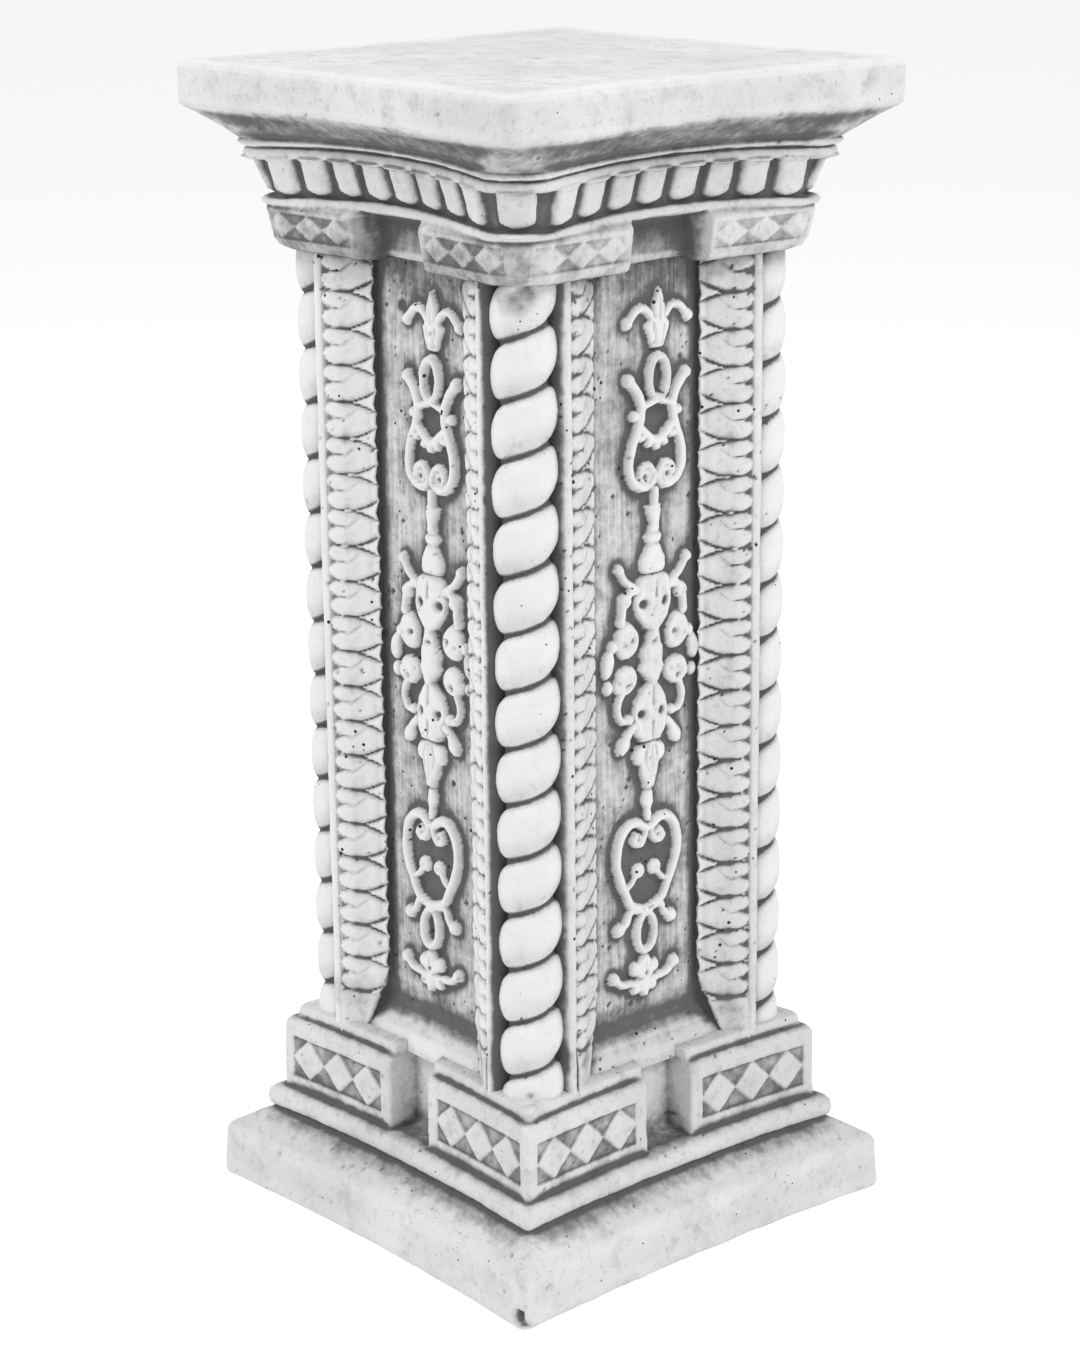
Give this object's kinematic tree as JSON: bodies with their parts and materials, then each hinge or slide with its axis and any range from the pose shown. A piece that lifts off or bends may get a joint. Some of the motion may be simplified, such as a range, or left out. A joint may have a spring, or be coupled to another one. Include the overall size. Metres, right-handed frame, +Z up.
{
  "type": "cast stone garden pedestal column",
  "caption": "Square cast-stone pedestal column with moulded base, rope corners, relief panels and a dentilled capital under a flat top slab.",
  "frame": {"origin": "middle of the underside, on the ground", "axes": "+Z up along the column; +X and -Y point out of the two faces that the picture shows"},
  "size_m": [0.3, 0.3, 0.7],
  "materials": {
    "cast_stone": "light grey cast stone, matte and slightly rough, with a dark grey wash left in the recesses"
  },
  "bodies": {
    "root": {"column": "cast_stone"}
  },
  "joints": []
}
